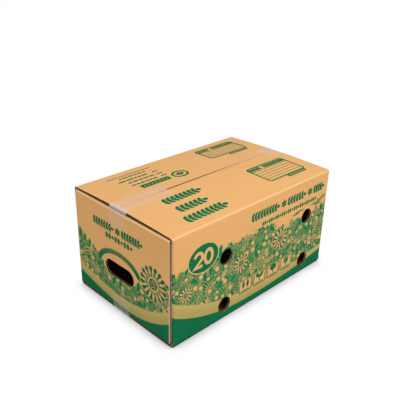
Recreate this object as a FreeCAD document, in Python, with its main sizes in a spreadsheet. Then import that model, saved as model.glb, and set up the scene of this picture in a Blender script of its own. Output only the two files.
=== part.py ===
# Closed slotted carton of single-wall corrugated board, held shut by four strips of film tape.
# Millimetres. X runs along the long panels, Y across them, Z up. The origin is the middle of
# the base, on the surface that the carton stands on. The joint corner is at -X, -Y.
import FreeCAD, Part
import math
import os
import re
import Sketcher

DRIVING = {
    "inside_length": 430,      # the three printed sizes are the carton's inside
    "inside_width": 270,
    "inside_height": 200,
    "board": 4,                # one C flute board
    "liner": 0.45,             # each paper face of the board
    "cut_depth": 3,            # how far a cut edge is open between its two liners
    "fold_radius": 4.5,        # outside of a folded score
    "lay_gap": 0.4,            # between an outer flap and the flap that it lies on
    "side_gap": 1,             # between an inner flap and the long panel beside it
    "flap_inset": 2,           # an outer flap's end, back from the end panel's face
    "seam_gap": 1.4,           # between the two outer flaps
    "seam_offset": 4,          # the seam lies this far towards +Y
    "top_rise": 4.5,           # the top flaps spring up this much at the seam
    "tab_width": 32,           # glue tab of the joint corner
    "vent_radius": 16,
    "vent_low": 30.5,          # lower vents, above the base
    "vent_drop": 83.3,         # upper vents, below the top
    "vent_left_in": 130.5,     # near vents, in from the left end
    "vent_right_in": 69,       # far vents, in from the right end
    "hand_length": 85,
    "hand_height": 33,
    "hand_level": 88.5,        # middle of a hand hole, above the base
    "hand_shift": 4.5,         # a hand hole lies this far left of its panel's middle
    "tape_width": 48,
    "film": 0.2,               # tape with its glue
    "tape_top_long": 116,      # on the top, from the left end face
    "tape_top_short": 42,      # on the top, from the right end face
    "tape_base_run": 116,      # under the base, from either end face
    "tape_drop_left": 36,      # down the left end, below the top
    "tape_drop_right": 95,     # down the right end, below the top
    "tape_climb": 35,          # up either end, above the base
}

DERIVED = {
    "half_length": "inside_length / 2 + board",
    "half_width": "inside_width / 2 + board",
    "height": "inside_height + 4 * board + 2 * lay_gap",
    "core_radius": "fold_radius - board",
    "long_fold_top": "height - fold_radius",
    "end_top": "height - board - lay_gap",
    "end_base": "board + lay_gap",
    "end_fold_top": "end_top - fold_radius",
    "end_fold_base": "end_base + fold_radius",
    "flap_end": "half_length - flap_inset",
    "flap_half": "half_width - board - side_gap",
    "bend_x": "half_length - fold_radius",
    "bend_y": "half_width - fold_radius",
    "joint_x": "half_length - board - fold_radius",
    "tab_inside": "half_length - 2 * board",
    "tab_end": "bend_y - tab_width",
    "inner_reach": "half_length - half_width",
    "front_reach": "bend_y + seam_offset - seam_gap / 2",
    "back_reach": "bend_y - seam_offset - seam_gap / 2",
    "top_seam": "height + top_rise",
    "vent_top": "height - vent_drop",
    "vent_left": "half_length - vent_left_in",
    "vent_right": "half_length - vent_right_in",
    "hand_round": "hand_height / 2",
    "hand_half": "hand_length / 2 - hand_round",
    "tape_half": "tape_width / 2",
    "top_bridge": "end_fold_top + fold_radius / 4",
    "base_bridge": "end_fold_base - fold_radius / 4",
}
# A sprung top flap is an arc that leaves its fold tangentially and is level at the seam.
for flap in ("front", "back"):
    DERIVED[flap + "_half_turn"] = f"top_rise / {flap}_reach"
    DERIVED[flap + "_sine"] = f"2 * {flap}_half_turn / (1 + {flap}_half_turn ^ 2)"
    DERIVED[flap + "_cosine"] = f"(1 - {flap}_half_turn ^ 2) / (1 + {flap}_half_turn ^ 2)"
    DERIVED[flap + "_bow"] = f"fold_radius + {flap}_reach / {flap}_sine"

doc = FreeCAD.newDocument("carton")
sheet = doc.addObject("Spreadsheet::Sheet", "sizes")
for row, (alias, value) in enumerate(list(DRIVING.items()) + list(DERIVED.items()), start=1):
    sheet.set(f"A{row}", alias)
    sheet.set(f"B{row}", str(value) if alias in DRIVING else "=" + value)
    sheet.setAlias(f"B{row}", alias)
doc.recompute()


def bound(text):
    """An expression over the sheet's aliases, as an expression over the sheet's cells."""
    return re.sub(r"[a-z][a-z_]*", r"sizes.\g<0>", text)


def value(text):
    """The number that an expression over the aliases gives now."""
    return float(sheet.evalExpression(bound(text)))


def new_body(label):
    body = doc.addObject("PartDesign::Body", label)
    body.Label = label
    return body


def new_sketch(body, name, plane, level="0"):
    """A sketch on one of the body's own planes, moved along the plane's normal by level."""
    sketch = body.newObject("Sketcher::SketchObject", name)
    sketch.AttachmentSupport = [(next(o for o in body.Origin.OriginFeatures if o.Role == plane), "")]
    sketch.MapMode = "FlatFace"
    sketch.setExpression("AttachmentOffset.Base.z", bound(level))
    return sketch


def pin_one(sketch, geometry, position, kind, text):
    index = sketch.addConstraint(
        Sketcher.Constraint(kind, -1, 1, geometry, position, value(text)))
    sketch.setExpression(f"Constraints[{index}]", bound(text))


def pin(sketch, geometry, position, x, y):
    """Hold one point of the sketch at the expressions x and y."""
    pin_one(sketch, geometry, position, "DistanceX", x)
    pin_one(sketch, geometry, position, "DistanceY", y)


def add_outline(sketch, corners):
    """A closed outline. A corner is (x, y), where a line starts, or (x, y, radius, cx, cy, way),
    where an arc about (cx, cy) starts, counterclockwise for way 1 and clockwise for way -1."""
    pieces = []
    for here, after in zip(corners, corners[1:] + corners[:1]):
        start = FreeCAD.Vector(value(here[0]), value(here[1]), 0)
        end = FreeCAD.Vector(value(after[0]), value(after[1]), 0)
        if len(here) == 2:
            geometry = sketch.addGeometry(Part.LineSegment(start, end), False)
            pieces.append((geometry, 1, 2))
            continue
        radius, middle_x, middle_y, way = here[2:]
        middle = FreeCAD.Vector(value(middle_x), value(middle_y), 0)
        first, last = (start, end) if way > 0 else (end, start)
        circle = Part.Circle(middle, FreeCAD.Vector(0, 0, 1), value(radius))
        angles = [math.atan2(point.y - middle.y, point.x - middle.x) for point in (first, last)]
        if angles[1] < angles[0]:
            angles[1] += 2 * math.pi
        geometry = sketch.addGeometry(Part.ArcOfCircle(circle, *angles), False)
        pieces.append((geometry, 1, 2) if way > 0 else (geometry, 2, 1))
    for index, (geometry, _, finish) in enumerate(pieces):
        following = pieces[(index + 1) % len(pieces)]
        sketch.addConstraint(
            Sketcher.Constraint("Coincident", geometry, finish, following[0], following[1]))
    for index, (corner, (geometry, begin, _)) in enumerate(zip(corners, pieces)):
        pin(sketch, geometry, begin, corner[0], corner[1])
        if len(corner) == 2:
            continue
        # The arc's ends leave its centre free only across the chord.
        after = corners[(index + 1) % len(corners)]
        run = abs(value(after[0]) - value(corner[0]))
        climb = abs(value(after[1]) - value(corner[1]))
        kind, text = ("DistanceX", corner[3]) if climb > run else ("DistanceY", corner[4])
        pin_one(sketch, geometry, 3, kind, text)


def add_circle(sketch, x, y, radius):
    circle = Part.Circle(
        FreeCAD.Vector(value(x), value(y), 0), FreeCAD.Vector(0, 0, 1), value(radius))
    geometry = sketch.addGeometry(circle, False)
    pin(sketch, geometry, 3, x, y)
    index = sketch.addConstraint(Sketcher.Constraint("Radius", geometry, value(radius)))
    sketch.setExpression(f"Constraints[{index}]", bound(radius))


def extrude(body, kind, name, sketch, length, both_ways=False, back=False):
    """A Pad or a Pocket of the sketch, which has to change the body's volume."""
    before = body.Shape.Volume if body.Tip else 0
    feature = body.newObject("PartDesign::" + kind, name)
    feature.Profile = sketch
    feature.SideType = "Symmetric" if both_ways else "One side"
    feature.Reversed = back
    feature.setExpression("Length", bound(length))
    doc.recompute()
    if abs(body.Shape.Volume - before) < 1:
        raise RuntimeError(name + " changes nothing")
    return feature


def walls(body):
    """Four panels and the glue tab, one strip of board folded round at the joint corner."""
    sketch = new_sketch(body, "wall_outline", "XY_Plane", "end_fold_base")
    add_outline(sketch, [
        ("-half_length", "-bend_y"),
        ("-half_length", "bend_y", "fold_radius", "-bend_x", "bend_y", -1),
        ("-bend_x", "half_width"),
        ("bend_x", "half_width", "fold_radius", "bend_x", "bend_y", -1),
        ("half_length", "bend_y"),
        ("half_length", "-bend_y", "fold_radius", "bend_x", "-bend_y", -1),
        ("bend_x", "-half_width"),
        ("-joint_x", "-half_width", "fold_radius", "-joint_x", "-bend_y", -1),
        ("board - half_length", "-bend_y"),
        ("board - half_length - liner", "-bend_y"),
        ("board - half_length - liner", "cut_depth - bend_y"),
        ("liner - half_length", "cut_depth - bend_y"),
        ("liner - half_length", "-bend_y"),
    ])
    add_outline(sketch, [
        ("-tab_inside", "-bend_y"),
        ("-tab_inside", "-tab_end"),
        ("board - half_length", "-tab_end"),
        ("board - half_length", "bend_y", "core_radius", "-bend_x", "bend_y", -1),
        ("-bend_x", "half_width - board"),
        ("bend_x", "half_width - board", "core_radius", "bend_x", "bend_y", -1),
        ("half_length - board", "bend_y"),
        ("half_length - board", "-bend_y", "core_radius", "bend_x", "-bend_y", -1),
        ("bend_x", "board - half_width"),
        ("-joint_x", "board - half_width", "core_radius", "-joint_x", "-bend_y", -1),
    ])
    extrude(body, "Pad", "wall_strip", sketch, "end_fold_top - end_fold_base")


def top_flap_edge(side, flap, inset):
    """Section of one sprung top flap in the YZ plane, from its fold to its seam edge, thinner
    than the board by inset on both faces. side is - for the front flap, at -Y."""
    seam = f"{side}bend_y - ({side}{flap}_reach)"
    bow_level = f"long_fold_top - ({flap}_bow - fold_radius) * {flap}_cosine"
    way = -1 if side == "-" else 1
    outer, inner = f"fold_radius - {inset}", f"core_radius + {inset}"
    outer_bow, inner_bow = f"{flap}_bow - {inset}", f"{flap}_bow - board + {inset}"
    return {
        "out": (f"{side}bend_y + ({side}({outer}) * {flap}_sine)",
                f"long_fold_top + ({outer}) * {flap}_cosine",
                outer_bow, seam, bow_level, way),
        "seam": (seam, f"{bow_level} + {outer_bow}"),
        "under": (seam, f"{bow_level} + {inner_bow}", inner_bow, seam, bow_level, -way),
        "in": (f"{side}bend_y + ({side}({inner}) * {flap}_sine)",
               f"long_fold_top + ({inner}) * {flap}_cosine"),
        "fold_in": (inner, f"{side}bend_y", "long_fold_top", -way),
        "fold_out": (outer, f"{side}bend_y", "long_fold_top", way),
    }


def base_seam(side, flap):
    return f"{side}bend_y - ({side}{flap}_reach)"


def outer_flaps(body):
    """The long panels' own flaps, from the end panels' level to the seam, above and below."""
    sketch = new_sketch(body, "outer_flap_outline", "YZ_Plane")
    for side, flap in (("-", "front"), ("", "back")):
        edge = top_flap_edge(side, flap, "0")
        add_outline(sketch, [
            (f"{side}half_width", "end_fold_top"),
            (f"{side}half_width", "long_fold_top", *edge["fold_out"]),
            edge["out"],
            edge["seam"],
            edge["under"],
            (*edge["in"], *edge["fold_in"]),
            (f"{side}(half_width - board)", "long_fold_top"),
            (f"{side}(half_width - board)", "end_fold_top"),
        ])
        way = 1 if side == "-" else -1
        add_outline(sketch, [
            (f"{side}half_width", "end_fold_base"),
            (f"{side}half_width", "fold_radius", "fold_radius", f"{side}bend_y", "fold_radius", way),
            (f"{side}bend_y", "0 * board"),
            (base_seam(side, flap), "0 * board"),
            (base_seam(side, flap), "board"),
            (f"{side}bend_y", "board", "core_radius", f"{side}bend_y", "fold_radius", -way),
            (f"{side}(half_width - board)", "fold_radius"),
            (f"{side}(half_width - board)", "end_fold_base"),
        ])
    extrude(body, "Pad", "outer_flaps", sketch, "2 * flap_end", both_ways=True)


def inner_flaps(body):
    """The end panels' flaps, folded in first, under the top flaps and over the base flaps."""
    sketch = new_sketch(body, "inner_flap_outline", "XZ_Plane")
    levels = (("end_fold_top", "end_top", "end_top - board", 1),
              ("end_fold_base", "end_base", "end_base + board", -1))
    for side, turn in (("-", -1), ("", 1)):
        for fold, outside, inside, up in levels:
            way = turn * up
            add_outline(sketch, [
                (f"{side}half_length", fold, "fold_radius", f"{side}bend_x", fold, way),
                (f"{side}bend_x", outside),
                (f"{side}inner_reach", outside),
                (f"{side}inner_reach", inside),
                (f"{side}bend_x", inside, "core_radius", f"{side}bend_x", fold, -way),
                (f"{side}(half_length - board)", fold),
            ])
    extrude(body, "Pad", "inner_flaps", sketch, "2 * flap_half", both_ways=True)


def holes(body):
    """Four vents straight through both long panels, so that air passes across the carton, and
    a hand hole in each end panel. The end panels are the same seen from outside."""
    vents = new_sketch(body, "vent_outline", "XZ_Plane")
    for x in ("-vent_left", "vent_right"):
        for level in ("vent_low", "vent_top"):
            add_circle(vents, x, level, "vent_radius")
    extrude(body, "Pocket", "vents", vents, "2 * (half_width + board)", both_ways=True)
    low, top = "hand_level - hand_round", "hand_level + hand_round"
    for name, side, back in (("left_hand_hole", "", False), ("right_hand_hole", "-", True)):
        hand = new_sketch(body, name + "_outline", "YZ_Plane")
        left, right = f"{side}hand_shift - hand_half", f"{side}hand_shift + hand_half"
        add_outline(hand, [
            (left, top, "hand_round", left, "hand_level", 1),
            (left, low),
            (right, low, "hand_round", right, "hand_level", 1),
            (right, top),
        ])
        extrude(body, "Pocket", name, hand, "half_length + board", back=back)


def cut_edges(body):
    """The outer flaps' end edges are cut along a flute, so they are open between the liners."""
    sketch = new_sketch(body, "cut_edge_outline", "YZ_Plane", "flap_end")
    for side, flap in (("-", "front"), ("", "back")):
        edge = top_flap_edge(side, flap, "liner")
        seam = edge["seam"][0]
        add_outline(sketch, [edge["out"], edge["seam"], edge["under"], edge["in"]])
        add_outline(sketch, [
            (f"{side}bend_y", "liner"),
            (seam, "liner"),
            (seam, "board - liner"),
            (f"{side}bend_y", "board - liner"),
        ])
    pocket = extrude(body, "Pocket", "cut_edges", sketch, "cut_depth")
    before = body.Shape.Volume
    mirror = body.newObject("PartDesign::Mirrored", "far_cut_edges")
    mirror.Originals = [pocket]
    mirror.MirrorPlane = (next(o for o in body.Origin.OriginFeatures if o.Role == "YZ_Plane"), [""])
    body.Tip = mirror
    doc.recompute()
    if before - body.Shape.Volume < 1:
        raise RuntimeError("far_cut_edges changes nothing")


def tape_beds(body):
    """The carton's weight presses the base strips flush into the base flaps."""
    sketch = new_sketch(body, "tape_bed_outline", "XY_Plane")
    low, high = "seam_offset - tape_half", "seam_offset + tape_half"
    for side in ("-", ""):
        inner, outer = f"{side}(half_length - tape_base_run)", f"{side}half_length"
        add_outline(sketch, [(inner, low), (outer, low), (outer, high), (inner, high)])
    extrude(body, "Pocket", "tape_beds", sketch, "film", back=True)


def tape(label, side, across, drop):
    """A strip from the top, across the flaps' cut ends and down an end panel."""
    body = new_body(label)
    sketch = new_sketch(body, label + "_outline", "XZ_Plane", "-seam_offset")
    add_outline(sketch, [
        (f"{side}(half_length - {across})", "top_seam"),
        (f"{side}flap_end", "top_seam"),
        (f"{side}half_length", "top_bridge"),
        (f"{side}half_length", f"height - {drop}"),
        (f"{side}(half_length + film)", f"height - {drop}"),
        (f"{side}(half_length + film)", "top_bridge"),
        (f"{side}(flap_end + film / 2)", "top_seam + film"),
        (f"{side}(half_length - {across})", "top_seam + film"),
    ])
    extrude(body, "Pad", label + "_strip", sketch, "tape_width", both_ways=True)
    return body


def base_tape(label, side):
    """A strip from the base, across the flaps' cut ends and up an end panel."""
    body = new_body(label)
    sketch = new_sketch(body, label + "_outline", "XZ_Plane", "-seam_offset")
    add_outline(sketch, [
        (f"{side}(half_length - tape_base_run)", "film"),
        (f"{side}flap_end", "film"),
        (f"{side}half_length", "base_bridge"),
        (f"{side}half_length", "tape_climb"),
        (f"{side}(half_length + film)", "tape_climb"),
        (f"{side}(half_length + film)", "base_bridge"),
        (f"{side}(flap_end + film / 2)", "0 * film"),
        (f"{side}(half_length - tape_base_run)", "0 * film"),
    ])
    extrude(body, "Pad", label + "_strip", sketch, "tape_width", both_ways=True)
    return body


carton = new_body("carton")
walls(carton)
outer_flaps(carton)
inner_flaps(carton)
holes(carton)
cut_edges(carton)
tape_beds(carton)
nodes = [
    carton,
    tape("tape_top_left", "-", "tape_top_long", "tape_drop_left"),
    tape("tape_top_right", "", "tape_top_short", "tape_drop_right"),
    base_tape("tape_base_left", "-"),
    base_tape("tape_base_right", ""),
]
doc.recompute()

for item in doc.Objects:
    if "Invalid" in item.State or "Error" in item.State:
        raise RuntimeError(item.Name + " failed: " + str(item.State))
for node in nodes:
    if node.Shape.isNull() or not node.Shape.isValid() or len(node.Shape.Solids) != 1:
        raise RuntimeError(node.Label + " has no single valid solid")

os.makedirs("parts", exist_ok=True)
for node in nodes:
    node.Shape.exportStep(os.path.join("parts", node.Label + ".step"))
    box = node.Shape.BoundBox
    print(node.Label, round(node.Shape.Volume, 1), [round(v, 2) for v in (
        box.XMin, box.XMax, box.YMin, box.YMax, box.ZMin, box.ZMax)])
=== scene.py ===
# Looks of a closed slotted carton: kraft board printed in one green with a lighter screen tint,
# its vents, hand holes and open flutes, and four strips of clear film tape.
# Meshes are made in millimetres, and link_piece turns them to metres, the frame's own unit.
import math
import random

import bmesh
import bpy
from mathutils import Matrix, Vector, noise


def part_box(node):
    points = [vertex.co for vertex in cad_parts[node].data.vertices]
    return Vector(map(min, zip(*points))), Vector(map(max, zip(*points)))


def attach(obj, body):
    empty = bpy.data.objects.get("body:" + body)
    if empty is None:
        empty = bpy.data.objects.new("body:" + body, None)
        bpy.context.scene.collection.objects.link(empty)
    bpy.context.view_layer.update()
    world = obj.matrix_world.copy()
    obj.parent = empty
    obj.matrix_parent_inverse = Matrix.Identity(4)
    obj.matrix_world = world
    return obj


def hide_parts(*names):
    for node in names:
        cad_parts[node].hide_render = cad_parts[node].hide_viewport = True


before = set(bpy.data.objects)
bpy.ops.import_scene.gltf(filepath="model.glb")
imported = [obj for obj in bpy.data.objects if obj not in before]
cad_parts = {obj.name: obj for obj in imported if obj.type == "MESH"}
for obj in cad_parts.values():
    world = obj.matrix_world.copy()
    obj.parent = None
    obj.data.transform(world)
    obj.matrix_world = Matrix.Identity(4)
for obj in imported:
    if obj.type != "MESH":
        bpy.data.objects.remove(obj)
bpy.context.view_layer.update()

MM = 0.001
carton_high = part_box("carton")[1]
HALF_LENGTH = carton_high.x / MM
HALF_WIDTH = carton_high.y / MM
TOP = carton_high.z / MM             # the seam, where the sprung top flaps are highest
TOP_RISE = 4.5                       # the seam's height over the long panels' top folds
BOARD = 4.0
LINER = 0.45
FLUTE_PITCH = 7.8
FOLD_RADIUS = 4.5
CUT_DEPTH = 3.0
BEND_X = HALF_LENGTH - FOLD_RADIUS
BEND_Y = HALF_WIDTH - FOLD_RADIUS
JOINT_X = BEND_X - BOARD             # the front panel's fold into the glue tab
LONG_FOLD_TOP = TOP - TOP_RISE - FOLD_RADIUS
LAY = BOARD + 0.4                    # an outer flap lies this far outside an inner one
END_FOLD_TOP = LONG_FOLD_TOP - LAY
END_FOLD_BASE = FOLD_RADIUS + LAY
FLAP_END = HALF_LENGTH - 2
SEAM = 4.0                           # the middle of the seam, in Y
SEAM_GAP = 1.4
SEAM_STEP = 1.4                      # the far flap's height over the near one at the seam
PRINT_MARGIN = 2.6                   # the end panel's bare strip at its raw edge
HAND_HOLE = (-4.5, 88.5)             # its middle on an end panel


def srgb(red, green, blue):
    """The linear colour, with alpha, of an 8-bit sRGB colour."""
    levels = [level / 255 for level in (red, green, blue)]
    return tuple(x / 12.92 if x < 0.04045 else ((x + 0.055) / 1.055) ** 2.4 for x in levels) + (1.0,)


KRAFT = srgb(227, 172, 108)
KRAFT_DARK = srgb(206, 149, 90)
# A painted highlight along the outer folds.
KRAFT_CREASE_HIGHLIGHT = srgb(250, 215, 168)
KRAFT_FRAYED = srgb(222, 186, 156)
GREEN = srgb(4, 108, 66)
GREEN_FINE = srgb(14, 122, 74)
OLIVE = srgb(180, 165, 97)
OLIVE_DEEP = srgb(162, 154, 88)
LINER_RIM = srgb(150, 114, 88)
CUT_RIM = srgb(214, 182, 152)
# Painted shade in the open hollows of flutes, where a cut runs along a flute.
HOLLOW_SHADE = srgb(92, 66, 54)
MEDIUM = srgb(158, 122, 98)
FILM = srgb(240, 228, 222)
# Unstuck film shares this whiter colour with painted glints and a painted reflection.
FILM_LOOSE_AND_GLINT = srgb(248, 238, 234)
WALL_SHADE = srgb(58, 39, 28)
WALL_MEDIUM = srgb(138, 100, 74)
SEAM_MEDIUM = srgb(214, 170, 130)
# The pale colour that a cut turns towards on its right half.
PALE_CUT = srgb(244, 226, 206)


# Shader expressions


def feed(socket, item):
    """Links a Field to an input socket, or sets the socket to a constant."""
    if isinstance(item, Field):
        item.tree.links.new(item.socket, socket)
    else:
        socket.default_value = item


class Field:
    """A value that varies over a surface: an output socket of a material's nodes."""

    def __init__(self, tree, socket):
        self.tree = tree
        self.socket = socket

    def apply(self, operation, *others, clamp=False):
        node = self.tree.nodes.new("ShaderNodeMath")
        node.operation = operation
        node.use_clamp = clamp
        for socket, item in zip(node.inputs, (self, *others)):
            feed(socket, item)
        return Field(self.tree, node.outputs[0])

    def __add__(self, other):
        return self.apply("ADD", other)

    def __sub__(self, other):
        return self.apply("SUBTRACT", other)

    def __mul__(self, other):
        return self.apply("MULTIPLY", other)

    def __truediv__(self, other):
        return self.apply("DIVIDE", other)

    def __pow__(self, other):
        return self.apply("POWER", other)

    def __rsub__(self, other):
        return (self * -1) + other

    def over(self, edge, blur=0.3):
        """1 where this is above edge, 0 where it is below, with a soft step as wide as blur."""
        return ((self - edge) / blur).apply("ADD", 0.5, clamp=True)

    def under(self, edge, blur=0.3):
        return 1 - self.over(edge, blur)

    def size(self):
        return self.apply("ABSOLUTE")

    def either(self, other):
        return self.apply("MAXIMUM", other)

    def sine(self):
        return self.apply("SINE")


class Paint:
    """Builds the nodes of one material. Its lengths are millimetres."""

    def __init__(self, name, roughness=0.75, specular=0.35):
        self.material = bpy.data.materials.new(name)
        self.material.use_nodes = True
        self.tree = self.material.node_tree
        self.shader = self.tree.nodes["Principled BSDF"]
        self.shader.inputs["Roughness"].default_value = roughness
        self.shader.inputs["Specular IOR Level"].default_value = specular
        self.place = self.add("ShaderNodeTexCoord", "Object")
        self.panel = self.add("ShaderNodeUVMap", "UV", uv_map="panel")
        self.across, self.up, _ = self.split(self.panel)
        self.across = self.across * (1 / MM)
        self.up = self.up * (1 / MM)

    def add(self, kind, output, inputs=(), **settings):
        """A new node with these settings and inputs, as the Field of one of its outputs."""
        node = self.tree.nodes.new(kind)
        for name, setting in settings.items():
            setattr(node, name, setting)
        for name, item in dict(inputs).items():
            feed(node.inputs[name], item)
        return Field(self.tree, node.outputs[output])

    def split(self, vector):
        node = self.tree.nodes.new("ShaderNodeSeparateXYZ")
        feed(node.inputs[0], vector)
        return [Field(self.tree, node.outputs[index]) for index in range(3)]

    def join(self, x, y, z=0.0):
        return self.add("ShaderNodeCombineXYZ", 0, {0: x, 1: y, 2: z})

    def noise(self, vector, feature, detail=2.0):
        """Noise about 0.5 over a vector in metres, with features of that many millimetres."""
        return self.add("ShaderNodeTexNoise", "Fac",
                        {"Vector": vector, "Scale": 1 / (feature * MM), "Detail": detail})

    def flat_noise(self, x, y, detail=1.0):
        """Noise about 0.5 whose features are about as large as 1 of x and y."""
        return self.add("ShaderNodeTexNoise", "Fac",
                        {"Vector": self.join(x, y), "Scale": 1.0, "Detail": detail},
                        noise_dimensions="2D")

    def mix(self, share, first, second):
        """The first colour where share is 0 and the second where it is 1."""
        node = self.tree.nodes.new("ShaderNodeMix")
        node.data_type = "RGBA"
        for index, item in ((0, share), (6, first), (7, second)):
            feed(node.inputs[index], item)
        return Field(self.tree, node.outputs[2])

    def shade(self, colour, factor):
        """The colour, a Field or three numbers, made lighter or darker by a factor about 1."""
        node = self.tree.nodes.new("ShaderNodeVectorMath")
        node.operation = "MULTIPLY"
        feed(node.inputs[0], colour)
        feed(node.inputs[1], self.join(factor, factor, factor))
        return Field(self.tree, node.outputs[0])

    def done(self, colour, height=None, **others):
        """Links the colour, the relief in millimetres and other inputs to the shader."""
        feed(self.shader.inputs["Base Color"], colour)
        if height is not None:
            bump = self.add("ShaderNodeBump", "Normal", {"Height": height, "Distance": MM})
            feed(self.shader.inputs["Normal"], bump)
        for name, field in others.items():
            feed(self.shader.inputs[name], field)
        return self.material


# Board


def washboard(paint):
    """The flutes' wave, from -1 in a trough to 1 on a crest, along the panel's across axis."""
    return (paint.across * (2 * math.pi / FLUTE_PITCH)).sine()


def kraft(paint):
    """Kraft liner: slow clouding, fibre flecks, faint streaks along the flutes, and paler creases: a
    painted highlight along the outer folds.
    """
    cloud = paint.noise(paint.place, 70, 2.0)
    fleck = paint.noise(paint.place, 1.7, 3.0)
    streak = paint.flat_noise(paint.across / 3.2, paint.up / 60, 2.0)
    tone = (cloud - 0.5) * 0.09 + (fleck - 0.5) * 0.28 + (streak - 0.5) * 0.05
    tone = tone + washboard(paint) * 0.006 + 1
    crease_highlight = paint.add("ShaderNodeAttribute", "Fac", attribute_name="crease_highlight")
    dark_fibre = paint.noise(paint.place, 0.9, 1.0).over(0.66, 0.08)
    colour = paint.mix(dark_fibre * 0.3, KRAFT, KRAFT_DARK)
    # Painted highlight along the outer folds.
    colour = paint.mix(crease_highlight * 0.75, colour, KRAFT_CREASE_HIGHLIGHT)
    return paint.shade(colour, tone)


def relief(paint, ink=0.0):
    """Height of the liner: the flutes' washboard and the paper's tooth. Ink lies on top."""
    tooth = paint.noise(paint.place, 0.8, 2.0)
    return washboard(paint) * 0.018 + tooth * 0.04 + ink * 0.01


def green_ink(paint, shade=GREEN):
    """Flexographic ink: a little thinner over the flutes' troughs, with a few pinholes."""
    pinhole = paint.noise(paint.place, 1.3, 2.0).over(0.66, 0.12)
    cloud = paint.noise(paint.place, 45, 2.0)
    streak = paint.flat_noise(paint.across / 2.6, paint.up / 80, 2.0)
    tone = (cloud - 0.5) * 0.16 + (streak - 0.5) * 0.12 + washboard(paint) * 0.02 + 1
    thin = pinhole * 0.05 + washboard(paint).under(-0.6, 0.8) * 0.006
    return paint.mix(thin, paint.shade(shade[:3], tone), kraft(paint))


def olive_ink(paint, depth):
    """A tint of the green, screened in upright lines that follow the flutes. depth is 0 at the
    band's top and 1 at its foot, where the tint is deeper."""
    lines = (paint.across * (2 * math.pi / (FLUTE_PITCH / 2))).sine()
    share = lines * 0.2 + washboard(paint) * 0.08 + 0.79
    tint = paint.mix(depth.over(0.5, 0.5), OLIVE, OLIVE_DEEP)
    return paint.mix(share, kraft(paint), tint)


def scattered(paint, cell, shift, randomness):
    """Random points about a cell apart. Gives a spot's x and y from its nearest point, that
    point's own place, and two random shares that belong to the point."""
    across = paint.across + shift
    up = paint.up + shift
    node = paint.add("ShaderNodeTexVoronoi", "Position",
                     {"Vector": paint.join(across, up), "Scale": 1 / cell,
                      "Randomness": randomness}, voronoi_dimensions="2D")
    x, y, _ = paint.split(node)
    first, second, _ = paint.split(Field(paint.tree, node.socket.node.outputs["Color"]))
    return across - x, up - y, x - shift, y - shift, first, second


def leaf_layer(paint, ink, skyline, cell, length, width, shift, line):
    """Draws random leaves over the ink, inside the skyline, each in a bare halo. Most are dark,
    many of them with a bare rib or veins, and a few are bare."""
    x, y, middle_x, middle_y, chance, turn = scattered(paint, cell, shift, 0.9)
    turn = turn * (2 * math.pi)
    cosine = turn.apply("COSINE")
    sine = turn.sine()
    x, y = x * cosine + y * sine, y * cosine - x * sine
    inside = (1 - (x / (length / 2)) ** 2) * (width / 2) - y.size()
    kept = (skyline(middle_x) - middle_y).over(0, 1)
    core = inside.over(line * 0.4)
    rib = y.size().under(line * 0.26)
    vein = ((x - y.size() * 0.9) / 5.2).apply("FRACT").under(0.24, 0.12)
    ribbed, veined, bare = (chance.over(edge, 0.02) for edge in (0.45, 0.76, 0.955))
    dark_leaf = 1 - (rib * ribbed).either(vein * veined) * core
    open_leaf = inside.under(line * 0.7).either(y.size().under(line * 0.4)).either(vein * 0.7)
    drawn = dark_leaf * (1 - bare) + open_leaf * bare
    halo = inside.over(-line * 0.28) * kept
    body = inside.over(0) * kept
    return (ink * (1 - halo)).either(drawn * body)


def fruit_layer(paint, ink, skyline, cell, radius, shift, line):
    """Round fruit among the leaves: bare discs with a thin outline and a small highlight."""
    x, y, middle_x, middle_y, chance, grow = scattered(paint, cell, shift, 0.8)
    distance = (x * x + y * y).apply("SQRT")
    inside = grow * (radius * 0.5) + radius * 0.7 - distance
    room = skyline(middle_x) - middle_y
    kept = room.over(radius * 1.6, 1) * chance.over(0.46, 0.02)
    outline = inside.over(-line) * inside.under(0)
    shadow = (x + y).under(-radius * 0.75, 0.4) * ((x - y) / 1.3).apply("FRACT").under(0.45)
    body = inside.over(0) * kept
    return (ink * (1 - body)).either(outline * kept).either(shadow * body)


def foliage(paint, skyline):
    """Ink share of an engraved thicket: dark ground, then layers of leaves, then fruit."""
    ground = paint.flat_noise(paint.across / 3.2, paint.up / 3.2, 1.0).over(0.22, 0.1)
    room = skyline(paint.across) - paint.up
    ink = ground * room.over(6, 2)
    for cell, length, width, shift in ((11, 15, 7, 300), (15, 20, 9, 520), (20, 26, 11, 810)):
        ink = leaf_layer(paint, ink, skyline, cell, length, width, shift, 1.5)
    return fruit_layer(paint, ink, skyline, 19, 4.7, 1130, 1.1)


def long_skyline(across):
    knoll = ((across + 150) / 50) ** 2 * -1
    waves = (across / 46 + 2.1).sine() * 12 + (across / 17 + 0.4).sine() * 5
    return waves + knoll.apply("EXPONENT") * 18 + 146


def end_skyline(across):
    return ((across + 134) / 42).apply("COSINE") * 31 + (across / 13).sine() * 3 + 98


def long_green_top(across):
    """Top of the solid green band of a long panel: two sweeps that meet level near the middle."""
    away = across + 5
    left = (away * (-1 / 214)).either(0) ** 2.44 * 50
    right = (away / 223).either(0) ** 2 * 17.4
    return left + right + 15


def end_green_top(across):
    away = across - 4
    left = (away * (-1 / 140)).either(0) ** 1.53 * 23.8
    right = (away / 126).either(0) ** 2.37 * 33.3
    return left + right + 14


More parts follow.
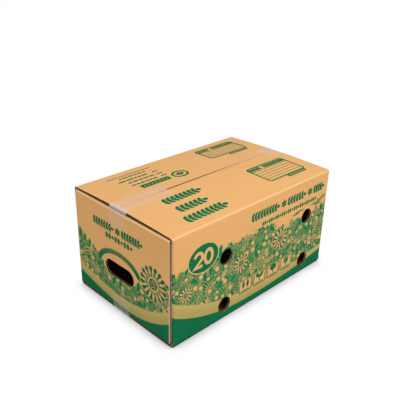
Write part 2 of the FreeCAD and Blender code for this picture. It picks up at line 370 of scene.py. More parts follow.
def printed(name, skyline, green_top, tint_depth, tint_slope):
    """A printed panel: green foot, lighter tint above it, thicket above that, bare board."""
    paint = Paint(name, roughness=0.85, specular=0.06)
    foot = green_top(paint.across)
    tint_top = foot + tint_depth + paint.across * tint_slope
    thicket = foliage(paint, skyline) * paint.up.over(tint_top, 0.6)
    solid = paint.up.under(foot, 0.6)
    tint = paint.up.under(tint_top, 0.6)
    x, y, _ = paint.split(paint.place)
    at_edge = y.under((PRINT_MARGIN - BEND_Y) * MM, 0.0004) * y.over(-BEND_Y * MM, 0.0004)
    margin = at_edge * x.under(-(BEND_X - 0.2) * MM, 0.0004)
    colour = paint.mix(tint, kraft(paint), olive_ink(paint, (tint_top - paint.up) / tint_depth))
    colour = paint.mix(thicket, colour, green_ink(paint, GREEN_FINE))
    colour = paint.mix(solid, colour, green_ink(paint))
    colour = paint.mix(margin * 0.9, colour, KRAFT_FRAYED)
    return paint.done(colour, relief(paint, thicket.either(solid)))


def bare_board():
    paint = Paint("bare_board", roughness=0.8, specular=0.3)
    return paint.done(kraft(paint), relief(paint))


def solid_print():
    paint = Paint("solid_print", roughness=0.85, specular=0.06)
    return paint.done(green_ink(paint), relief(paint))


def shaded_inside_board():
    """The inner liner, a darker recycled paper, painted darker still as shade, since only the holes
    let light onto it.
    """
    paint = Paint("shaded_inside_board", roughness=0.9, specular=0.1)
    # Painted shade: the inside is only a fraction as bright as the dark kraft.
    tone = paint.noise(paint.place, 12, 3.0) * 0.25 + 0.12
    return paint.done(paint.shade(KRAFT_DARK[:3], tone), relief(paint))


def cut_board(name, crest, paling=0.0):
    """Board cut across its flutes: two liners with the fluted medium, and painted shade in the
    hollows between. Up is the depth below the outer face. With its last argument above 0 the cut
    grows paler towards its right half."""
    paint = Paint(name, roughness=0.9, specular=0.15)
    ragged = paint.noise(paint.place, 1.1, 3.0) - 0.5
    wave = washboard(paint) * (BOARD / 2 - LINER - 0.1) + BOARD / 2
    medium = (paint.up + ragged * 0.5 - wave).size().under(0.34, 0.2)
    liner = (paint.up - BOARD / 2).size().over(BOARD / 2 - LINER, 0.15)
    fibre = paint.noise(paint.place, 0.7, 2.0)
    # Painted shade in the hollows between the medium's crests.
    colour = paint.mix(medium, WALL_SHADE, crest)
    colour = paint.mix(liner, colour, CUT_RIM)
    if paling:
        colour = paint.mix(paint.across.over(50, 150) * paling, colour, PALE_CUT)
    return paint.done(paint.shade(colour, fibre * 0.8 + 0.5), ragged * 0.3)


def torn_board():
    """Board cut along a flute: liner rims, and streaks of medium dangling down in the groove, over
    painted shade in the flutes' open hollows.
    """
    paint = Paint("torn_board", roughness=0.9, specular=0.15)
    streak = paint.flat_noise(paint.across / 9, paint.up / 0.7, 3.0).over(0.56, 0.12)
    jitter = paint.flat_noise(paint.across / 7, 0.0, 1.0) * 6
    tick = (paint.across * (2 * math.pi / 3.3) + jitter).sine().over(0.1, 0.8)
    liner = (paint.up - BOARD / 2).size().over(BOARD / 2 - LINER - 0.05, 0.15)
    fibre = paint.noise(paint.place, 0.9, 2.0)
    # Painted shade in the hollows, with streaks and ticks of medium.
    colour = paint.mix((streak * 0.4).either(tick * 0.8), HOLLOW_SHADE, MEDIUM)
    colour = paint.mix(liner, colour, LINER_RIM)
    return paint.done(paint.shade(colour, fibre * 0.9 + 0.5), fibre * 0.2)


def loose_flute():
    """A strip of the medium, dull and fibrous."""
    paint = Paint("loose_flute", roughness=0.95, specular=0.05)
    fibre = paint.noise(paint.place, 0.8, 2.0)
    return paint.done(paint.shade(MEDIUM[:3], fibre * 0.8 + 0.5), fibre * 0.2)


def film_tape():
    """Clear acrylic tape: whitish where its glue hasn't wetted the paper, with painted glints where
    it spans the step and a painted reflection over the whole upper right strip, glossy on top, and
    streaked where it was pulled down the upright panels."""
    paint = Paint("film_tape", roughness=0.28, specular=0.5)
    mottle = paint.noise(paint.place, 5, 3.0)
    brushed = paint.flat_noise(paint.across / 1.2, paint.up / 50, 2.0)
    # This attribute marks unstuck film, and also carries painted glints and a painted reflection.
    loose_and_glint = paint.add("ShaderNodeAttribute", "Fac", attribute_name="loose_and_glint")
    upright = 1 - paint.split(paint.add("ShaderNodeNewGeometry", "Normal"))[2].size()
    streaks = (brushed - 0.5) * (upright * 0.22 + 0.02)
    cover = (mottle - 0.5) * 0.07 + streaks + loose_and_glint * 0.42 + 0.16
    colour = paint.mix(loose_and_glint * 0.9, FILM, FILM_LOOSE_AND_GLINT)
    height = mottle * 0.05 + brushed * 0.03
    return paint.done(colour, height, Alpha=cover)


MATERIALS = {material.name: material for material in (
    printed("long_print", long_skyline, long_green_top, 20.5, -0.04),
    printed("end_print", end_skyline, end_green_top, 22, 0.03),
    cut_board("cut_board", WALL_MEDIUM),
    cut_board("seam_board", SEAM_MEDIUM, 0.8),
    torn_board(), loose_flute(), bare_board(), shaded_inside_board(), solid_print(), film_tape())}


# Shapes


def ease(share):
    """A smooth step from 0 to 1."""
    share = min(max(share, 0), 1)
    return share * share * (3 - 2 * share)


def warp(point):
    """A carton is never quite flat: the long panels swell a little, the ends hold the top flaps
    down, between the tapes the far flap's edge lies a little over the near one's, and the
    corners of the base stand a hair off the ground."""
    x, y, z = point
    along = x / HALF_LENGTH
    across = y / HALF_WIDTH
    swell = 0.9 * across ** 3 * math.cos(along * math.pi / 2) * math.sin(min(z / TOP, 1) * math.pi)
    held = 1.6 * along ** 4 * ease((z - LONG_FOLD_TOP) / (TOP - LONG_FOLD_TOP)) * (1 - across ** 4)
    lift = 0.9 * (along * across) ** 4 * ease(1 - z / 60)
    by_seam = ease(1 - abs(SEAM - y) / 40) * ease((z - LONG_FOLD_TOP - 1) / 3)
    untaped = ease((0.72 - abs(along)) / 0.25)
    step = SEAM_STEP * by_seam * untaped * (0.6 if y > SEAM else -0.4)
    return Vector((x, y + swell, z - held + step + lift))


def add_object(name, data):
    item = bpy.data.objects.new(name, data)
    bpy.context.scene.collection.objects.link(item)
    return item


def link_piece(name, work, keys, sharp=None):
    """Turns work, in millimetres, into a piece of the frame, warped and in metres. Where sharp
    is given, an edge that bends by more than so many degrees is shaded as an edge."""
    mesh = bpy.data.meshes.new(name)
    work.to_mesh(mesh)
    work.free()
    if sharp:
        mesh.set_sharp_from_angle(angle=math.radians(sharp))
    for vertex in mesh.vertices:
        vertex.co = warp(vertex.co) * MM
    for key in keys:
        mesh.materials.append(MATERIALS[key])
    piece = add_object(name, mesh)
    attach(piece, "root")
    return piece


def thicken(piece, thickness, offset):
    """Gives single faces a body: below them at an offset of -1, both ways at 0."""
    body = piece.modifiers.new("body", "SOLIDIFY")
    body.thickness = thickness * MM
    body.offset = offset


def slice_mesh(work, axis, levels):
    """Cuts every face of the mesh where it crosses one of these levels of one axis."""
    normal = Vector((0, 0, 0))
    normal[axis] = 1
    for level in levels:
        everything = work.verts[:] + work.edges[:] + work.faces[:]
        bmesh.ops.bisect_plane(work, geom=everything, dist=1e-4, plane_co=normal * level,
                               plane_no=normal)


def steps(low, high, pitch):
    """Even levels strictly between low and high, about pitch apart."""
    count = max(1, round((high - low) / pitch))
    return [low + (high - low) * index / count for index in range(1, count)]


def outward(point):
    """The outward direction of the board that a point belongs to, and its panel's kind."""
    x, y, z = point
    side_x = math.copysign(1, x)
    side_y = math.copysign(1, y)
    joint = x < 0 and y < 0
    out_x = abs(x) - (JOINT_X if joint else BEND_X)
    out_y = abs(y) - BEND_Y
    near = 0.01
    walls = END_FOLD_BASE - near < z < END_FOLD_TOP + near
    if out_y > near and (out_x < near or not walls):
        bend = z - LONG_FOLD_TOP if z > LONG_FOLD_TOP else min(z - FOLD_RADIUS, 0)
        return Vector((0, side_y * out_y, bend)).normalized(), "long"
    if out_y > near:
        kind = "long" if out_y > out_x or joint else "end"
        return Vector((side_x * out_x, side_y * out_y, 0)).normalized(), kind
    if abs(x) > BEND_X + near:
        bend = z - END_FOLD_TOP if z > END_FOLD_TOP else min(z - END_FOLD_BASE, 0)
        if abs(bend) < FOLD_RADIUS + near:
            return Vector((side_x * (abs(x) - BEND_X), 0, bend)).normalized(), "end"
    if walls:
        return Vector((side_x, 0, 0)), "tab"
    return Vector((0, 0, 1 if z > TOP / 2 else -1)), "flap"


def depth_below(point, kind):
    """How deep in the board a point lies under the board's outer face."""
    x, y, z = point
    if kind == "long":
        return HALF_WIDTH - abs(y)
    if kind == "end":
        return HALF_LENGTH - abs(x)
    return top_level(y) - z if z > TOP / 2 else z


def top_level(y):
    """Height of the top flaps' outer face: two sprung arcs, level at the seam."""
    edge = SEAM - math.copysign(SEAM_GAP / 2, SEAM - y)
    reach = BEND_Y + edge if y < SEAM else BEND_Y - edge
    share = min(abs(y - edge) / reach, 1) if abs(y - SEAM) > SEAM_GAP / 2 else 0
    return TOP - TOP_RISE * share ** 2


def crease_highlight_at(point):
    """The share of painted highlight on an outer fold: 1 in the middle of its bend, falling to 0 at
    its ends.
    """
    x, y, z = point
    out_x, out_y = abs(x) - BEND_X, abs(y) - BEND_Y
    rise = z - LONG_FOLD_TOP
    shares = []
    for first, second, weight in ((out_y, rise, 0.6), (out_x, z - END_FOLD_TOP, 1.3)):
        if first > 0 and second > 0 and math.hypot(first, second) < FOLD_RADIUS + 0.2:
            shares.append(weight * math.sin(2 * math.atan2(second, first)) ** 4)
    joint = x < 0 and y < 0
    if out_x > 0 and out_y > 0 and END_FOLD_BASE < z < END_FOLD_TOP and not joint:
        shares.append(0.3 * math.sin(2 * math.atan2(out_y, out_x)) ** 4)
    return max(shares, default=0)


def classify(face):
    """A face's material and the function that gives its corners their panel coordinates."""
    middle = face.calc_center_median()
    out, kind = outward(middle)
    facing = face.normal.dot(out)
    x_side = math.copysign(1, middle.x)
    if kind == "flap" and abs(face.normal.y) > 0.9:
        return "seam_board", lambda p: (p.x, depth_below(p, kind))
    if abs(facing) < 0.5 or kind == "tab":
        along_edge = abs(face.normal.x) > 0.9 and kind in ("flap", "long") and abs(
            middle.x) > FLAP_END - CUT_DEPTH - 1
        raw_edge = abs(face.normal.y) > 0.9 and kind == "end" and middle.y < 1 - BEND_Y
        if along_edge or raw_edge:
            run = 1 if along_edge else 2
            return "torn_board", lambda p: (p[run], depth_below(p, kind))
        run = 1 if kind == "end" else 0
        return "cut_board", lambda p: (p[run], depth_below(p, kind))
    if kind == "flap":
        outer = facing > 0 and depth_below(middle, kind) < BOARD / 2
        return "bare_board" if outer else "shaded_inside_board", lambda p: (p.x, p.y)
    if kind == "long":
        return "long_print" if facing > 0 else "shaded_inside_board", lambda p: (p.x, p.z)
    if facing > 0:
        return "end_print", lambda p: (x_side * p.y, p.z)
    return "shaded_inside_board", lambda p: (p.y, p.z)


def make_board():
    """The carton's one folded sheet, from its solid, cut finely enough to bend and shade."""
    keys = ["long_print", "end_print", "bare_board", "shaded_inside_board", "cut_board", "seam_board",
            "torn_board"]
    work = bmesh.new()
    work.from_mesh(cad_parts["carton"].data)
    for layer in list(work.loops.layers.uv):
        work.loops.layers.uv.remove(layer)
    bmesh.ops.scale(work, vec=Vector((1, 1, 1)) / MM, verts=work.verts)
    bmesh.ops.remove_doubles(work, verts=work.verts, dist=0.01)
    by_fold = 2.5
    for axis, bend in ((0, BEND_X), (1, BEND_Y)):
        at_folds = [by_fold - bend, bend - by_fold, -bend, bend]
        slice_mesh(work, axis, steps(-bend, bend, 20) + at_folds)
    slice_mesh(work, 2, steps(END_FOLD_BASE, END_FOLD_TOP, 20)
               + [END_FOLD_BASE + by_fold, END_FOLD_TOP - by_fold, LONG_FOLD_TOP, FOLD_RADIUS])
    panel = work.loops.layers.uv.new("panel")
    # How much painted highlight each point of the outer folds gets.
    crease_highlight = work.verts.layers.float.new("crease_highlight")
    work.normal_update()
    for vertex in work.verts:
        vertex[crease_highlight] = crease_highlight_at(vertex.co)
    for face in work.faces:
        key, unroll = classify(face)
        face.material_index = keys.index(key)
        face.smooth = True
        for loop in face.loops:
            loop[panel].uv = Vector(unroll(loop.vert.co)) * MM
    piece = link_piece("board", work, keys, 32)
    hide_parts("carton")


# Print


def on_panel(panel, across, up, lift):
    """The point of the board's outer face at these panel coordinates, raised by lift."""
    side = -1 if panel in ("front", "left_end") else 1
    if panel in ("front", "back"):
        return Vector((across, side * (HALF_WIDTH + lift), up))
    if panel in ("left_end", "right_end"):
        return Vector((side * (HALF_LENGTH + lift), side * across, up))
    return Vector((across, up, top_level(up) + lift))


def turned(points, angle, middle):
    cosine, sine = math.cos(angle), math.sin(angle)
    return [(middle[0] + x * cosine - y * sine, middle[1] + x * sine + y * cosine)
            for x, y in points]


def on_oval(middle, radius_x, radius_y, angle):
    """The point of an oval at an angle in radians."""
    return middle[0] + radius_x * math.cos(angle), middle[1] + radius_y * math.sin(angle)


def oval(middle, radius_x, radius_y, count):
    turn = 2 * math.pi / count
    return [on_oval(middle, radius_x, radius_y, turn * index) for index in range(count)]


def bar(low_x, low_y, high_x, high_y):
    return [(low_x, low_y), (high_x, low_y), (high_x, high_y), (low_x, high_y)]


def leaf_outline(middle, length, width, angle, count=7):
    """A pointed leaf about its middle: two shallow arcs from tip to tip."""
    stations = [-1 + 2 * index / count for index in range(count + 1)]
    lower = [(length / 2 * s, -width / 2 * (1 - s * s)) for s in stations]
    upper = [(length / 2 * s, width / 2 * (1 - s * s)) for s in reversed(stations[1:-1])]
    return turned(lower + upper, angle, middle)


def stroke(points, width, closed=False):
    """A line of even width, as one quad for each of its runs, with mitred corners."""
    points = [Vector(point) for point in points]
    least_cosine = 0.45
    rails = []
    for index, here in enumerate(points):
        runs = []
        if closed or index > 0:
            runs.append(here - points[index - 1])
        if closed or index < len(points) - 1:
            runs.append(points[(index + 1) % len(points)] - here)
        sides = [Vector((-run.y, run.x)).normalized() for run in runs]
        mitre = (sides[0] + sides[-1]).normalized()
        reach = width / 2 / max(mitre.dot(sides[0]), least_cosine)
        rails.append((here + mitre * reach, here - mitre * reach))
    if closed:
        rails.append(rails[0])
    return [[here[1], there[1], there[0], here[0]] for here, there in zip(rails, rails[1:])]


def arc(middle, radius_x, radius_y, first, last, count):
    """Points of an oval's arc between two angles in degrees."""
    angles = [math.radians(first + (last - first) * i / count) for i in range(count + 1)]
    return [on_oval(middle, radius_x, radius_y, angle) for angle in angles]


class Plate:
    """The shapes of one panel's print. A shape of a higher layer covers those of lower ones, and
    neighbours on one layer lie a hair apart in height, so that no two faces share a plane."""

    base_lift = 0.05
    layer_lift = 0.042
    neighbour_lift = 0.0105

    def __init__(self, panel):
        self.panel = panel
        self.shapes = []

    def add(self, key, outlines, layer):
        turn = len(self.shapes) % 4
        lift = self.base_lift + self.layer_lift * layer + self.neighbour_lift * turn
        self.shapes.append((key, lift, outlines))

    def ink(self, *outlines, layer=0):
        self.add("solid_print", outlines, layer)

    def bare(self, *outlines, layer=0):
        self.add("bare_board", outlines, layer)

    def line(self, points, width, closed=False, layer=0):
        self.ink(*stroke(points, width, closed), layer=layer)

    def press(self):
        """Makes the print as one thin piece that follows the board."""
        keys = ["solid_print", "bare_board"]
        work = bmesh.new()
        panel = work.loops.layers.uv.new("panel")
        for key, lift, outlines in self.shapes:
            corners = {}
            for outline in outlines:
                loop = []
                for x, y in outline:
                    spot = (round(x, 3), round(y, 3))
                    if spot not in corners:
                        corners[spot] = work.verts.new((x, y, lift))
                    if corners[spot] not in loop:
                        loop.append(corners[spot])
                if len(loop) > 2:
                    face = work.faces.new(loop)
                    face.material_index = keys.index(key)
        work.normal_update()
        inward = [face for face in work.faces if (face.normal.z < 0) != (self.panel == "back")]
        bmesh.ops.reverse_faces(work, faces=inward)
        for axis, reach in ((0, HALF_LENGTH), (1, TOP)):
            slice_mesh(work, axis, steps(-reach, reach, 10))
        for face in work.faces:
            for loop in face.loops:
                loop[panel].uv = Vector(loop.vert.co[:2]) * MM
        for vertex in work.verts:
            vertex.co = on_panel(self.panel, *vertex.co)
        thicken(link_piece("print_" + self.panel, work, keys), 0.12, -1)


def garland(plate, low, high, level, height):
    """A laurel band: a stem with close pairs of leaves and a leaf at its end."""
    run = high - low - height * 0.45
    count = max(2, round(run / (height * 0.46)))
    reach = height * 0.31
    plate.line([(low, level), (high - height * 0.4, level)], height * 0.12, layer=1)
    for index in range(count):
        for angle in (-0.95, 0.95):
            middle = on_oval((low + run * index / count, level), reach, reach, angle)
            plate.ink(leaf_outline(middle, height * 0.64, height * 0.36, angle))
    plate.ink(leaf_outline((high - height * 0.3, level), height * 0.6, height * 0.4, 0))


def beads(plate, low, high, level, height):
    """A row of close upright ovals with a dot after every second one."""
    count = max(3, round((high - low) / (height * 0.72)))
    pitch = (high - low) / count
    for index in range(count):
        middle = (low + pitch * (index + 0.5), level)
        if index % 3 == 2:
            plate.ink(oval(middle, height * 0.3, height * 0.3, 10))
        else:
            plate.ink(oval(middle, pitch * 0.42, height * 0.54, 12))


def dashes(plate, low, high, level, height, seed):
    """A row of short bars of uneven length."""
    draw = random.Random(seed)
    x = low
    while x < high - height:
        length = min(draw.uniform(1.2, 3.4) * height, high - x)
        plate.ink(bar(x, level - height / 2, x + length, level + height / 2))
        x += length + height * 0.4


def flower(plate, middle, radius, petals=12):
    """A daisy: a dark scalloped ground in a bare halo, bare petals and a dark studded disc."""
    def ring(reach, length, width, shift):
        for index in range(petals):
            angle = 2 * math.pi * (index + shift) / petals
            root = on_oval(middle, radius * reach, radius * reach, angle)
            yield leaf_outline(root, radius * length, radius * width, angle)

    def disc(share):
        return oval(middle, radius * share, radius * share, 28)

    for petal in ring(0.66, 0.72, 0.46, 0.5):
        plate.bare(petal)
    for petal in ring(0.66, 0.64, 0.4, 0.5):
        plate.ink(petal, layer=1)
    plate.ink(disc(0.7), layer=2)
    for petal in ring(0.62, 0.6, 2.3 / petals, 0):
        plate.bare(petal, layer=3)
    for petal in ring(0.5, 0.26, 0.04, 0):
        plate.ink(petal, layer=4)
    plate.bare(disc(0.38), layer=5)
    plate.ink(disc(0.31), layer=6)
    golden = math.pi * (3 - math.sqrt(5))
    for index in range(12):
        reach = radius * 0.25 * math.sqrt((index + 0.5) / 12)
        stud = on_oval(middle, reach, reach, index * golden)
        plate.bare(oval(stud, radius * 0.036, radius * 0.036, 6), layer=7)


def rosette(plate, middle, radius, layer=0):
    """A small solid bloom of six petals."""
    for index in range(6):
        angle = math.pi * (index / 3 + 1 / 6)
        root = on_oval(middle, radius * 0.54, radius * 0.54, angle)
        plate.ink(leaf_outline(root, radius * 0.95, radius * 0.52, angle), layer=layer)


def big_leaf(plate, middle, length, angle):
    """A large leaf: a dark body in a bare halo, with a bare rib and side veins."""
    line = 1.4
    width = length * 0.42
    plate.bare(leaf_outline(middle, length, width, angle, 9))
    plate.ink(leaf_outline(middle, length - 3.4, width - 2.2, angle, 9), layer=1)
    rib = turned([(-length * 0.4, 0), (length * 0.4, 0)], angle, middle)
    plate.bare(*stroke(rib, line), layer=2)
    for station in (-0.26, -0.08, 0.10, 0.26):
        for side in (-1, 1):
            tip = width * 0.30 * side * (1 - station * station)
            vein = turned([(length * station, 0), (length * (station + 0.11), tip)], angle, middle)
            plate.bare(*stroke(vein, line * 0.75), layer=2)


def numeral(plate, middle, height, weight, mirror):
    """The plain number 20, in bare board. mirror is -1 where the panel's print is reversed."""
    wide = height * 0.27
    right = height * 0.36
    low = weight / 2 - height / 2
    crown = height / 2 - weight / 2 - wide
    two = arc((-right, crown), wide, wide, 170, -35, 12)
    two += [(-right - wide, low), (wide - right, low)]
    zero = oval((right, 0), wide, height / 2 - weight / 2, 28)
    for shape, closed in ((two, False), (zero, True)):
        placed = [(middle[0] + x * mirror, middle[1] + y) for x, y in shape]
        plate.bare(*stroke(placed, weight, closed), layer=2)


def tile(plate, low_x, low_y, high_x, high_y):
    """A bare tile with a thin frame and a hatched foot, and the middle of what it holds."""
    plate.bare(bar(low_x - 2.5, low_y - 1.5, high_x + 2.5, high_y + 2), layer=2)
    plate.line(bar(low_x, low_y, high_x, high_y), 2.1, closed=True, layer=3)
    for x in steps(low_x + 2, high_x - 2, 4.2):
        plate.line([(x - 1.6, low_y + 1.5), (x + 1.6, low_y + 5)], 1.8, layer=3)
    return (low_x + high_x) / 2, (low_y + high_y) / 2 + 2


def tiles(plate):
    """Four tiles with simple things that grow: two reeds, a sprout, a tree and a bloom."""
    wide, low, high, first, pitch = 33.0, 33.5, 60.5, -47.5, 41.3
    middles = [tile(plate, first + pitch * i, low, first + pitch * i + wide, high)
               for i in range(4)]
    x, y = middles[0]
    for side in (-6, 6):
        plate.ink(leaf_outline((x + side, y + 1), 19, 7.5, math.pi / 2), layer=3)
    x, y = middles[1]
    plate.line([(x, y - 9), (x, y + 1)], 2.8, layer=4)
    for side in (-1, 1):
        angle = math.pi / 2 - side * 0.85
        plate.ink(leaf_outline((x + side * 5.5, y + 4), 16, 8.5, angle), layer=3)
    x, y = middles[2]
    plate.line([(x, y - 9), (x, y + 2)], 2.8, layer=4)
    plate.ink(oval((x, y + 4.5), 10, 7, 24), layer=3)
    x, y = middles[3]
    plate.line([(x, y - 9), (x, y)], 2.6, layer=4)
    rosette(plate, (x, y + 3), 9.4, layer=3)


def long_plate(panel):
    """Print of a long panel, over its shaded bands and thicket."""
    plate = Plate(panel)
    disc = (-145.9, 154.2)
    plate.bare(oval(disc, 37.4, 29.4, 64))
    plate.ink(oval(disc, 35.2, 27.2, 64), layer=1)
    numeral(plate, disc, 33, 6.3, -1 if panel == "back" else 1)
    for low, high in ((-24, 58), (82, 142), (166, 204)):
        garland(plate, low, high, 187, 18)
    for across in (70, 154):
        rosette(plate, (across, 187), 9)
    beads(plate, 6, 180, 165, 9)
    for middle, radius in (((-48, 103), 22), ((66, 112), 25), ((-187, 97), 18)):
        flower(plate, middle, radius)
    for middle, length, angle in (((14, 98), 32, 0.5), ((112, 92), 30, 2.4), ((-12, 78), 28, 2.8),
                                  ((188, 96), 32, 1.2), ((-128, 88), 30, 0.4),
                                  ((194, 68), 26, 2.5), ((40, 78), 24, 0.2)):
        big_leaf(plate, middle, length, angle)
    tiles(plate)
    for middle, length in (((112, 149), 26), ((124, 152.5), 34), ((186, 150), 30),
                           ((180, 154.5), 44), ((196, 159), 32), ((204, 163.5), 18)):
        plate.ink(leaf_outline(middle, length, 3.2, 0.03, 11))
    return plate


def end_plate(panel):
    """Print of an end panel, round its hand hole."""
    plate = Plate(panel)
    garland(plate, -79, -16, 172.5, 17)
    rosette(plate, (-5, 172.5), 8.5)
    garland(plate, 6, 66, 172.5, 17)
    beads(plate, -43, 38, 154.5, 12)
    bough = arc(HAND_HOLE, 62, 38, 12, 168, 30)
    plate.line(bough, 2, layer=1)
    for index in range(1, 30):
        x, y = bough[index]
        heading = math.atan2(bough[index + 1][1] - y, bough[index + 1][0] - x)
        for side in (-1, 1):
            lean = heading + side * 0.75
            plate.ink(leaf_outline(on_oval((x, y), 4.2, 4.2, lean), 9, 3.8, lean))
    flower(plate, (92, 110), 37, 16)
    for middle, length, angle in (((-108, 90), 38, 0.35), ((-84, 66), 34, -0.4),
                                  ((-118, 64), 30, 0.9), ((56, 62), 24, 0.6),
                                  ((110, 79), 26, 2.6)):
        big_leaf(plate, middle, length, angle)
    return plate


def form(plate, low_x, low_y, high_x, high_y):
    """A blank label form: frame, hatched head, dotted rules and a solid foot bar."""
    cut = 4
    head = 17
    foot = 10
    marks = 26
    plate.line([(low_x + cut, low_y), (high_x - cut, low_y), (high_x, low_y + cut),
                (high_x, high_y - cut), (high_x - cut, high_y), (low_x + cut, high_y),
                (low_x, high_y - cut), (low_x, low_y + cut)], 3.8, closed=True, layer=1)
    for index in range(marks):
        x = low_x + 4 + (high_x - low_x - 8) * index / (marks - 1)
        if index not in (8, 9):
            plate.ink(bar(x - 1.75, high_y - head + 3, x + 1.75, high_y - 3))
    plate.line([(low_x, high_y - head), (high_x, high_y - head)], 1.8)
    body = high_y - low_y - head
    for row in range(1, 5):
        level = high_y - head - body * row / 5
        for x in steps(low_x, high_x, 4.4):
            plate.ink(bar(x - 1.8, level - 0.9, x + 1.8, level + 0.9))
    plate.ink(bar(high_x - 61, low_y - foot, high_x - 5, low_y), layer=2)
    for index in range(8):
        plate.bare(oval((high_x - 54 + 6 * index, low_y - foot / 2), 1.8, 2.6, 4), layer=3)


def top_plate():
    plate = Plate("top")
    form(plate, 76, -98.5, 185.5, -34)
    form(plate, 75, 60.5, 185, 115)
    emblem = (-33, 44)
    plate.line(oval(emblem, 17, 13.4, 40), 5, closed=True)
    for angle in (0.5, 1.57, 2.64):
        root = on_oval((emblem[0], emblem[1] - 2), 5.5, 4.5, angle)
        plate.ink(leaf_outline(root, 13, 8, angle))
    plate.line([(emblem[0], emblem[1] - 9), (emblem[0], emblem[1] - 1)], 2.4, layer=1)
    plate.ink(bar(-131, 36.5, -60, 51.5))
    for index in range(7):
        plate.bare(oval((-122 + 9 * index, 44), 2.4, 1.8, 4), layer=1)
    rows = ((-160, -54, 114.7, 3.0), (-139, -74, 103.7, 4.2), (-150, -75, 89.3, 5),
            (-137, -74, 75.3, 5), (-139, -75, 61, 5))
    for seed, (low, high, level, height) in enumerate(rows):
        dashes(plate, low, high, level, height, seed)
    for level in (89.3, 75.3, 61):
        plate.ink(leaf_outline((-64.5, level), 9, 5, 0.3))
        plate.ink(leaf_outline((-57, level), 9, 5, -0.4))
    for low, high, level in ((-144, -52, -34.5), (-144, -70, -71.5), (-158, -55, -107)):
        garland(plate, low, high, level, 23)
    return plate


# Open flutes


def make_open_flutes():
    """Loose strips of medium in the grooves of the edges that were cut along a flute."""
    work = bmesh.new()
    panel = work.loops.layers.uv.new("panel")
    draw = random.Random(7)

    def strip(start, end, place):
        """A wandering ribbon from start to end. place(run, depth, out) gives a point."""
        count = max(2, round(abs(end - start) / 4))
        phase = draw.uniform(0, 50)
        rows = []
        for index in range(count + 1):
            run = start + (end - start) * index / count
            wander = noise.noise(Vector((run / 17, phase, 0)))
            depth = BOARD / 2 + 2.4 * wander
            depth = min(max(depth, LINER + 0.35), BOARD - LINER - 0.35)
            out = 1.1 + 1.6 * abs(noise.noise(Vector((run / 5, phase + 9, 0))))
            rows.append([work.verts.new(place(run, depth, -CUT_DEPTH)),
                         work.verts.new(place(run, depth, -out))])
        for first, second in zip(rows, rows[1:]):
            work.faces.new((first[0], second[0], second[1], first[1]))

    for side in (-1, 1):
        for low, high in ((-BEND_Y + 1, SEAM - SEAM_GAP), (SEAM + SEAM_GAP, BEND_Y - 1)):
            for _ in range(2):
                for upper in (True, False):
                    strip(low, high, lambda run, depth, out: (
                        side * (FLAP_END + out), run, top_level(run) - depth if upper else depth))
    for _ in range(2):
        strip(END_FOLD_BASE + 1, END_FOLD_TOP - 1, lambda run, depth, out: (
            depth - HALF_LENGTH, -BEND_Y - out, run))
    for face in work.faces:
        for loop in face.loops:
            x, y, z = loop.vert.co
            loop[panel].uv = Vector((y + z, x)) * MM
    thicken(link_piece("open_flutes", work, ["loose_flute"]), 0.22, 0)


# Tape


def along_path(corners, pitch):
    """Points along straight runs between corners, about pitch apart, with every corner kept."""
    corners = [Vector(corner) for corner in corners]
    points = corners[:1]
    for start, end in zip(corners, corners[1:]):
        count = max(1, round((end - start).length / pitch))
        points += [start.lerp(end, index / count) for index in range(1, count + 1)]
    return points


def make_tape(name):
    """A strip of film from the flaps, over their cut ends, onto the end panel. It spans the step
    there loosely, with painted glints, and its two ends are serrated."""
    side = -1 if name.endswith("left") else 1
    upper = "top" in name
    low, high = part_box(name)
    low, high = low / MM, high / MM
    film = 0.12
    inner = abs(low.x if side > 0 else high.x)
    drop = low.z if upper else high.z
    level = TOP if upper else 0.0
    bridge = END_FOLD_TOP + 1 if upper else END_FOLD_BASE - 1
    rise = film if upper else 0.03
    path = along_path([(inner, level + rise), (FLAP_END, level + rise),
                       (HALF_LENGTH + film, bridge), (HALF_LENGTH + film, drop)], 3)
    columns = round(high.y - low.y)
    teeth_depth = 0.9
    # Painted reflection: the upper right strip is a little whiter all over, for the light it catches
    # at a grazing angle.
    painted_reflection = 0.12 if side > 0 and upper else 0.0
    work = bmesh.new()
    panel = work.loops.layers.uv.new("panel")
    loose_and_glint = work.verts.layers.float.new("loose_and_glint")
    serrated = {0: (path[1] - path[0]).normalized(),
                len(path) - 1: (path[-2] - path[-1]).normalized()}
    grid = []
    for row, (x, z) in enumerate(path):
        line = []
        for column in range(columns + 1):
            y = low.y + (high.y - low.y) * column / columns
            spot = Vector((x, z))
            if row in serrated:
                spot += serrated[row] * teeth_depth * (column % 2)
            on_top = upper and x < FLAP_END + 0.1
            if on_top:
                spot.y += top_level(y) - TOP
            if upper and FLAP_END - 0.01 < x < HALF_LENGTH + film:
                spot.x += noise.noise(Vector((y / 4, z / 9, x / 30))) * 0.125
            vertex = work.verts.new((side * spot.x, y, max(spot.y, 0.02)))
            # Near the step the film is loose, and its whiteness there is also a painted glint.
            near_step = math.exp(-((min(abs(x - FLAP_END), 40) + abs(z - level)) / 7) ** 2)
            seam = 0.7 * math.exp(-(y - SEAM) ** 2) if on_top else 0
            vertex[loose_and_glint] = min(1, max(near_step, seam, painted_reflection))
            line.append(vertex)
        grid.append(line)
    reached = 0.0
    for row, (here, there) in enumerate(zip(path, path[1:])):
        step = (there - here).length
        for column in range(columns):
            face = work.faces.new([grid[row][column], grid[row][column + 1],
                                   grid[row + 1][column + 1], grid[row + 1][column]])
            face.smooth = True
            for loop in face.loops:
                along = reached if loop.vert in grid[row] else reached + step
                loop[panel].uv = Vector((loop.vert.co.y, along)) * MM
        reached += step
    bmesh.ops.recalc_face_normals(work, faces=work.faces)
    work.normal_update()
    work.faces.ensure_lookup_table()
    if (work.faces[0].normal.z > 0) != upper:
        bmesh.ops.reverse_faces(work, faces=work.faces)
    piece = link_piece(name + "_film", work, ["film_tape"])
    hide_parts(name)


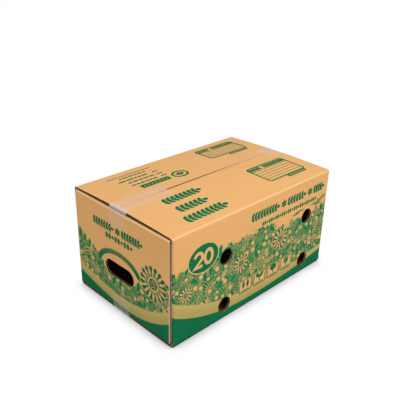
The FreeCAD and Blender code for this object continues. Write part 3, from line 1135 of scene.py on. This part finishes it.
make_board()
for face_name in ("front", "back"):
    long_plate(face_name).press()
for face_name in ("left_end", "right_end"):
    end_plate(face_name).press()
top_plate().press()
make_open_flutes()
for tape_name in ("tape_top_left", "tape_top_right", "tape_base_left", "tape_base_right"):
    make_tape(tape_name)


# Studio


SKY = 0.62
SHADOW_REACH = 0.03
SHADOW_DEPTH = 1.7


def make_floor():
    """A pale ground. To the camera it is plain white with a painted soft shadow, made from ambient
    occlusion, where the carton covers it.
    """
    work = bmesh.new()
    bmesh.ops.create_grid(work, x_segments=12, y_segments=12, size=12.0)
    mesh = bpy.data.meshes.new("floor")
    work.to_mesh(mesh)
    work.free()
    material = bpy.data.materials.new("floor_paper")
    material.use_nodes = True
    tree = material.node_tree
    tree.nodes.clear()
    diffuse, sky, white, path, blend, output = [tree.nodes.new("ShaderNode" + kind) for kind in (
        "BsdfDiffuse", "AmbientOcclusion", "Emission", "LightPath", "MixShader", "OutputMaterial")]
    diffuse.inputs["Color"].default_value = srgb(246, 246, 247)
    sky.inputs["Distance"].default_value = SHADOW_REACH
    # Painted shadow: the camera's white dims where ambient occlusion finds the carton near.
    covered = 1 - Field(tree, sky.outputs["AO"])
    feed(white.inputs["Strength"], 1 - covered * covered * SHADOW_DEPTH)
    for socket, source in ((blend.inputs["Fac"], path.outputs["Is Camera Ray"]),
                           (blend.inputs[1], diffuse.outputs[0]),
                           (blend.inputs[2], white.outputs[0]),
                           (output.inputs["Surface"], blend.outputs[0])):
        tree.links.new(source, socket)
    mesh.materials.append(material)
    add_object("floor", mesh)


def make_world():
    """Even sky light, and plain white where the camera or a reflection sees the sky."""
    world = bpy.data.worlds.new("studio")
    bpy.context.scene.world = world
    world.use_nodes = True
    tree = world.node_tree
    background = tree.nodes["Background"]
    background.inputs["Color"].default_value = (1, 1, 1, 1)
    path = tree.nodes.new("ShaderNodeLightPath")
    camera, glossy, through = [Field(tree, path.outputs["Is " + kind + " Ray"])
                               for kind in ("Camera", "Glossy", "Transmission")]
    seen = camera.either(glossy.either(through))
    feed(background.inputs["Strength"], seen * (1 - SKY) + SKY)


def make_lamp(name, place, power, size):
    lamp = bpy.data.lights.new(name, "AREA")
    lamp.energy = power
    lamp.shape = "DISK"
    lamp.size = size
    holder = add_object(name, lamp)
    holder.location = place
    aim = Vector((0, 0, 0.1)) - Vector(place)
    holder.rotation_euler = aim.to_track_quat("-Z", "Y").to_euler()


def make_camera():
    """The photograph's view, worked out from the carton's corners."""
    azimuth, elevation, roll = math.radians(-44.020), math.radians(24.892), math.radians(0.889)
    back = Vector((math.sin(azimuth) * math.cos(elevation),
                   -math.cos(azimuth) * math.cos(elevation), math.sin(elevation)))
    right = (-back).cross(Vector((0, 0, 1))).normalized()
    above = right.cross(-back)
    right, above = (right * math.cos(roll) + above * math.sin(roll),
                    above * math.cos(roll) - right * math.sin(roll))
    camera = bpy.data.cameras.new("camera")
    camera.lens = 50.68
    camera.sensor_width = 36
    camera.shift_x = 0.02
    camera.shift_y = -0.015
    holder = add_object("camera", camera)
    stand = (-0.7331, -0.7157, 0.6556)
    turn = Matrix((right, above, back)).transposed()
    holder.matrix_world = Matrix.Translation(stand) @ turn.to_4x4()
    bpy.context.scene.camera = holder


make_floor()
make_world()
make_lamp("key", (-0.15, -0.75, 1.35), 11, 1.0)
make_camera()
bpy.context.scene.view_settings.view_transform = "Standard"

bpy.context.view_layer.update()
